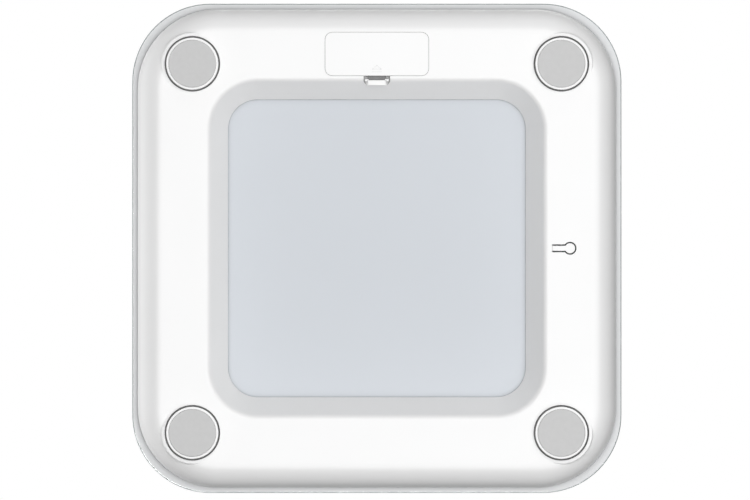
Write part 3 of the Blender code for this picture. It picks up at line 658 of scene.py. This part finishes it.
def shell_skin():
    inside_floor = UNDER_Z + WALL
    flange_angle = math.acos((RIM_Z - FLANGE_UNDER_Z) / (RIM_Z - inside_floor))
    slope_top = OPENING_HALF + 4.1 * MM
    slope_foot = slope_top + 9.1 * MM
    outlines = skirt(0, math.radians(90), 22)
    outlines += recess_edge()
    outlines.append((inner_outline(OPENING_HALF), RIM_Z))
    outlines.append((inner_outline(INNER_FLANGE_HALF), RIM_Z))
    outlines.append((inner_outline(INNER_FLANGE_HALF), FLANGE_UNDER_Z))
    outlines.append((inner_outline(slope_top), FLANGE_UNDER_Z))
    outlines.append((inner_outline(slope_foot), inside_floor))
    outlines += reversed(skirt(WALL, flange_angle, 10))
    outlines.append((outer_outline(OUTER_FLANGE_HALF), FLANGE_UNDER_Z))
    outlines.append((outer_outline(OUTER_FLANGE_HALF), RIM_Z))
    return skin("base_shell", outlines, closed=True)


def foot_centre(corner):
    low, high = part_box("foot_pad_" + corner)
    return (low.x + high.x) / 2, (low.y + high.y) / 2


def screw_places(corner):
    places = []
    for number in (1, 2):
        low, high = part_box(f"bracket_screw_{number}_{corner}")
        places.append(((low.x + high.x) / 2, (low.y + high.y) / 2))
    return places


def add_collar(shell, centre):
    """A faintly raised ring round a foot, bored for the foot's cap and flange."""
    soft = 1.1 * MM
    face_z = COLLAR_LOW_Z + 0.12 * MM
    outer = [(0, SLEEVE_TOP_Z), (COLLAR_R, SLEEVE_TOP_Z), (COLLAR_R, UNDER_Z + soft)]
    outer += arc((COLLAR_R - soft, UNDER_Z + soft), soft, 0, -80, 8)[1:]
    outer += [(WELL_R + 0.6 * MM, face_z), (0, face_z)]
    join(shell, turned("collar", outer, centre))
    lip = 0.35 * MM
    mouth_z = COLLAR_LOW_Z - BELOW
    step_z = UNDER_Z + WALL
    bore = [(0, SLEEVE_TOP_Z + BELOW), (SLEEVE_R, SLEEVE_TOP_Z + BELOW), (SLEEVE_R, step_z),
            (WELL_R, step_z)]
    bore += arc((WELL_R + lip, face_z + lip), lip, 180, 270, 5)
    bore += [(WELL_R + lip, mouth_z), (0, mouth_z)]
    cut(shell, turned("bore", bore, centre))


def add_bosses(shell):
    boss_r, pilot_r = 3.0 * MM, 1.2 * MM
    pilot_foot_z = UNDER_Z + 2.8 * MM
    places = [(place, SLEEVE_TOP_Z) for corner in CORNERS for place in screw_places(corner)]
    board_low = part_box("main_board")[0].z
    for name in ("board_screw_left", "board_screw_right"):
        low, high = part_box(name)
        places.append((((low.x + high.x) / 2, (low.y + high.y) / 2), board_low - 0.3 * MM))
    for place, top_z in places:
        boss = [(0, top_z), (boss_r, top_z), (boss_r, BOSS_FOOT_Z), (0, BOSS_FOOT_Z)]
        join(shell, turned("boss", boss, place, 24))
        pilot = [(0, top_z + MM), (pilot_r, top_z + MM), (pilot_r, pilot_foot_z),
                 (0, pilot_foot_z)]
        cut(shell, turned("pilot", pilot, place, 20))


def add_switch_posts(shell):
    low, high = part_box("switch_board")
    middle_x = (low.x + high.x) / 2
    post_y, post_r, pin_r = 8.5 * MM, 2.2 * MM, 0.9 * MM
    for side in (-1, 1):
        place = (middle_x, side * post_y)
        shoulder, tip = low.z - 0.3 * MM, high.z + 0.7 * MM
        profile = [(0, tip), (pin_r, tip), (pin_r, shoulder), (post_r, shoulder),
                   (post_r, BOSS_FOOT_Z), (0, BOSS_FOOT_Z)]
        join(shell, turned("post", profile, place, 20))


def battery_rows():
    rows = []
    for number in (1, 2):
        low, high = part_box(f"battery_cell_{number}")
        rows.append((low.y + high.y) / 2)
    return rows


def door_outline(margin):
    """The door's outline, grown by a margin."""
    return rounded_rectangle(DOOR_TOP.x + margin, DOOR_HALF_Y + margin, DOOR_CORNER_R + margin,
                             12, (0, DOOR_Y))


def add_battery_bay(shell):
    wide, deep = BAY_HALF_X + BAY_WALL, BAY_HALF_Y + BAY_WALL
    join(shell, block("bay", (-wide, DOOR_Y - deep, BOSS_FOOT_Z),
                      (wide, DOOR_Y + deep, BAY_ROOF_Z[1])))
    join(shell, block("latch_backing", (-10 * MM, -107 * MM, 6.1 * MM),
                      (10 * MM, -103.7 * MM, 11.2 * MM)))
    join(shell, block("latch_backing_tip", (-9.8 * MM, -104.5 * MM, 7.6 * MM),
                      (9.8 * MM, -101.7 * MM, 11.0 * MM)))
    lip_z = UNDER_Z + 0.6 * MM
    levels = ((DOOR_LIP_GAP, UNDER_Z - BELOW), (DOOR_LIP_GAP, lip_z), (DOOR_GAP, lip_z),
              (DOOR_GAP, DOOR_PLATE_TOP_Z + DOOR_GAP))
    cut(shell, skin("door_opening", [(door_outline(gap), z) for gap, z in levels]))
    cut(shell, block("bay_space", (-BAY_HALF_X, DOOR_Y - BAY_HALF_Y, UNDER_Z + 0.5 * MM),
                     (BAY_HALF_X, DOOR_Y + BAY_HALF_Y, BAY_ROOF_Z[0])))
    window_half = 2.8 * MM
    for side in (-1, 1):
        hook_x = side * HOOK_X
        cut(shell, block("hook_window", (hook_x - window_half, -132.2 * MM, 5.8 * MM),
                         (hook_x + window_half, -128 * MM, 10.6 * MM)))
    for row in battery_rows():
        cut(shell, block("lead_hole", (-32 * MM, row - 1.3 * MM, 12.7 * MM),
                         (-27 * MM, row + 1.3 * MM, 15.3 * MM)))


def add_latch_notch(shell):
    back, straight, tip = NOTCH_Y
    outline = [(-NOTCH_WIDE_X, back), (NOTCH_WIDE_X, back), (NOTCH_WIDE_X, straight),
               (NOTCH_NARROW_X, tip), (-NOTCH_NARROW_X, tip), (-NOTCH_WIDE_X, straight)]
    cut(shell, prism("latch_notch", outline, UNDER_Z - BELOW, NOTCH_TOP_Z))
    cut(shell, block("latch_travel", (-NOTCH_WIDE_X, -109 * MM, 6.2 * MM),
                     (NOTCH_WIDE_X, -105.8 * MM, NOTCH_TOP_Z)))


def button_outline(arm_half, pad_r, root_x, steps=40):
    """A round pad on a straight arm that runs to the root."""
    pad_x = BUTTON_TOP.x - BUTTON_PAD_R
    meet = math.asin(arm_half / pad_r)
    points = [(root_x, -arm_half)]
    for step in range(steps + 1):
        angle = -math.pi + meet + (2 * math.pi - 2 * meet) * step / steps
        points.append((pad_x + pad_r * math.cos(angle), pad_r * math.sin(angle)))
    points.append((root_x, arm_half))
    return points


def make_shell(materials):
    shell = shell_skin()
    for corner in CORNERS:
        add_collar(shell, foot_centre(corner))
    add_bosses(shell)
    add_switch_posts(shell)
    add_battery_bay(shell)
    add_latch_notch(shell)
    slot = button_outline(BUTTON_ARM_HALF + BUTTON_SLOT, BUTTON_PAD_R + BUTTON_SLOT,
                          BUTTON_LOW.x - BUTTON_ROOT_GAP)
    cut(shell, prism("button_slot", slot, UNDER_Z - BELOW, UNDER_Z + 4 * MM))
    smooth(shell)
    finish_piece(shell, materials["white"], "base", "white_gloss_plastic", "bottom_housing")


# ---------------------------------------------------------------- door, latch and button

def make_door(materials):
    edge = 0.25 * MM
    profile = arc((-edge, UNDER_Z + edge), edge, -90, 0, 4)
    profile += [(0, DOOR_PLATE_TOP_Z - edge), (-edge, DOOR_PLATE_TOP_Z)]
    door = skin("door_panel", [(door_outline(inset), z) for inset, z in profile])
    neck_half, tip_half = 2.5 * MM, 2.45 * MM
    for side in (-1, 1):
        x = side * HOOK_X
        join(door, block("neck", (x - neck_half, -131.9 * MM, DOOR_PLATE_TOP_Z - 0.8 * MM),
                         (x + neck_half, -130.9 * MM, 8.8 * MM)))
        join(door, block("tip", (x - tip_half, -134.0 * MM, 7.95 * MM),
                         (x + tip_half, -131.2 * MM, 8.75 * MM)))
    arrow_half, arrow_base, arrow_tip = 2.8 * MM, -109.6 * MM, -112.2 * MM
    arrow = [(-arrow_half, arrow_base), (arrow_half, arrow_base), (0, arrow_tip)]
    cut(door, prism("arrow", arrow, UNDER_Z - MM, UNDER_Z + 0.3 * MM))
    cut(door, block("arrow_bar", (-arrow_half, -108.5 * MM, UNDER_Z - MM),
                    (arrow_half, -107.9 * MM, UNDER_Z + 0.15 * MM)))
    smooth(door)
    finish_piece(door, materials["door"], "battery_door", "white_door_plastic", "battery_door")


def latch_profile():
    """Side view (y, z) of the U-shaped spring: tab, outer leg, bend and inner leg."""
    tab_end, tab_low, tab_top = LATCH_TOP.y, LATCH_LOW.z, LATCH_LOW.z + 1.2 * MM
    leg_in, leg_out = -103.1 * MM, -102.2 * MM
    inner_in, inner_out = LATCH_LOW.y, LATCH_LOW.y + 0.9 * MM
    top, under = LATCH_TOP.z, LATCH_TOP.z - 0.9 * MM
    foot = 6.7 * MM
    bend_r = 0.8 * MM
    points = [(tab_end, tab_low + 0.3 * MM), (tab_end, tab_top), (leg_out, tab_top)]
    points += arc((leg_out - bend_r, top - bend_r), bend_r, 0, 90, 5)
    points += arc((inner_in + bend_r, top - bend_r), bend_r, 90, 180, 5)
    points += [(inner_in, foot), (inner_out, foot)]
    points += arc((inner_out + 0.3 * MM, under - 0.3 * MM), 0.3 * MM, 180, 90, 3)
    points += arc((leg_in - 0.3 * MM, under - 0.3 * MM), 0.3 * MM, 90, 0, 3)
    points += [(leg_in, tab_low + 0.3 * MM), (leg_in + 0.3 * MM, tab_low)]
    points += [(tab_end - 0.3 * MM, tab_low)]
    return points


def make_latch(materials):
    half = 5.45 * MM
    bm = bmesh.new()
    ends = [[bm.verts.new((x, y, z)) for y, z in latch_profile()] for x in (-half, half)]
    count = len(ends[0])
    for i in range(count):
        j = (i + 1) % count
        bm.faces.new((ends[0][i], ends[0][j], ends[1][j], ends[1][i]))
    bm.faces.new(ends[0])
    bm.faces.new(reversed(ends[1]))
    latch = from_bmesh("latch_spring", bm)
    for low_x, high_x in ((LATCH_LOW.x, -half + 0.5 * MM), (half - 0.5 * MM, LATCH_TOP.x)):
        join(latch, block("ear", (low_x, -103.6 * MM, 5.7 * MM),
                          (high_x, -102.3 * MM, 6.6 * MM)))
    bevel(latch, 0.12 * MM, 2)
    smooth(latch)
    finish_piece(latch, materials["latch"], "door_latch", "white_door_plastic",
                 "battery_door_latch")


def make_button(materials):
    top = UNDER_Z + 1.4 * MM
    edge = 0.15 * MM
    outlines = []
    for inset, z in ((edge, UNDER_Z), (0, UNDER_Z + edge), (0, top)):
        outline = button_outline(BUTTON_ARM_HALF - inset, BUTTON_PAD_R - inset,
                                 BUTTON_LOW.x + inset)
        outlines.append((outline, z))
    button = skin("button_tongue", outlines)
    pad_x = BUTTON_TOP.x - BUTTON_PAD_R
    stem = [(0, BUTTON_TOP.z), (1.1 * MM, BUTTON_TOP.z), (1.3 * MM, BUTTON_TOP.z - 0.2 * MM),
            (1.3 * MM, top - 0.8 * MM), (0, top - 0.8 * MM)]
    join(button, turned("stem", stem, (pad_x, 0), 32))
    smooth(button)
    finish_piece(button, materials["white"], "unit_button", "white_gloss_plastic", "unit_button")


# ---------------------------------------------------------------- feet

def make_foot(corner, materials):
    centre = foot_centre(corner)
    cap_low, cap_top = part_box("foot_cap_" + corner)
    pad_low, pad_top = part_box("foot_pad_" + corner)
    pad_r = (pad_top.x - pad_low.x) / 2
    flange_r = (cap_top.x - cap_low.x) / 2
    cap_r = 15.95 * MM
    soft = 0.35 * MM
    recess_r, recess_z = pad_r + PAD_LINE, pad_top.z + 0.3 * MM
    post_r, hollow_r, web_z = 4 * MM, 13.6 * MM, 4 * MM
    flange_low_z, flange_top_z = 7.5 * MM, 8.8 * MM
    profile = [(0, cap_top.z), (post_r, cap_top.z), (post_r, web_z), (hollow_r, web_z),
               (hollow_r, flange_top_z), (flange_r, flange_top_z), (flange_r, flange_low_z),
               (cap_r, flange_low_z)]
    profile += arc((cap_r - soft, cap_low.z + soft), soft, 0, -90, 6)
    profile += [(recess_r, cap_low.z), (recess_r, recess_z), (0, recess_z)]
    cap = smooth(turned("cap_" + corner, profile, centre))
    finish_piece(cap, materials["white"], "foot_" + corner, "white_gloss_plastic",
                 "foot_cap_" + corner)

    round_off = 0.5 * MM
    face = [(0, pad_top.z), (pad_r, pad_top.z)]
    face += arc((pad_r - round_off, pad_low.z + round_off), round_off, 0, -90, 6)
    face += [(pad_r * share, pad_low.z) for share in (0.75, 0.5, 0.25)] + [(0, pad_low.z)]
    pad = smooth(turned("pad_" + corner, face, centre))
    finish_piece(pad, materials["foam"], "foot_" + corner, "grey_foot_foam",
                 "foot_pad_" + corner)


# ---------------------------------------------------------------- battery cells

def make_cell(number, materials):
    """A steel can with rounded ends and a nub, and a thin sleeve wrapped round it."""
    low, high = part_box(f"battery_cell_{number}")
    centre = (low + high) / 2
    half, radius = (high.x - low.x) / 2, (high.z - low.z) / 2
    facing = -1 if number == 1 else 1
    nub, soft, wrap = 1.0 * MM, 0.5 * MM, 0.12 * MM
    can_r, shoulder = radius - wrap, half - nub
    can = [(0, half), (1.6 * MM, half), (1.8 * MM, half - 0.2 * MM), (1.8 * MM, shoulder)]
    can += arc((can_r - soft, shoulder - soft), soft, 90, 0, 5)
    can += arc((can_r - soft, soft - half), soft, 0, -90, 5) + [(0, -half)]
    bare = 0.9 * MM
    top, foot, inner_r = shoulder - bare, bare - half, can_r - 0.3 * MM
    sleeve = [(inner_r, top), (can_r, top), (radius, top - wrap), (radius, foot + wrap),
              (can_r, foot), (inner_r, foot)]
    pose = Matrix.Translation(centre) @ Matrix.Rotation(math.radians(90) * facing, 4, "Y")
    for piece, finish in ((turned(f"cell_can_{number}", can), "steel"),
                          (closed_ring(f"cell_sleeve_{number}", sleeve), "jacket")):
        piece.data.transform(pose)
        smooth(piece)
        finish_piece(piece, materials[finish], "base", "cell_jacket", f"battery_cell_{number}")


# ---------------------------------------------------------------- pieces kept from the CAD

KEPT = {
    "adhesive_tape": "tape",
    "load_cell_lead": "lead",
    "load_cell": "steel",
    "strain_gauge_seal": "sealant",
    "corner_bracket": "inner_white",
    "bracket_screw": "steel",
    "board_screw": "steel",
    "battery_contact": "steel",
    "battery_spring": "steel",
    "battery_lead": "lead",
    "switch_lead": "lead",
    "main_board": "board",
    "switch_board": "board",
    "controller_chip": "black",
    "tact_switch": "black",
    "display_holder": "inner_white",
    "display_panel": "display",
}


def dress_kept_nodes(materials):
    for name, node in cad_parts.items():
        for start, finish in KEPT.items():
            if name.startswith(start):
                node.data.materials.clear()
                node.data.materials.append(materials[finish])
                break


# ---------------------------------------------------------------- the whole scene

def main():
    scene = bpy.context.scene
    scene.view_settings.view_transform = "Standard"
    make_camera()
    make_lights(make_floor())
    make_world()
    materials = make_materials()
    make_glass(materials)
    make_coat(materials)
    make_shell(materials)
    make_door(materials)
    make_latch(materials)
    make_button(materials)
    for corner in CORNERS:
        make_foot(corner, materials)
    for number in (1, 2):
        make_cell(number, materials)
    dress_kept_nodes(materials)


main()
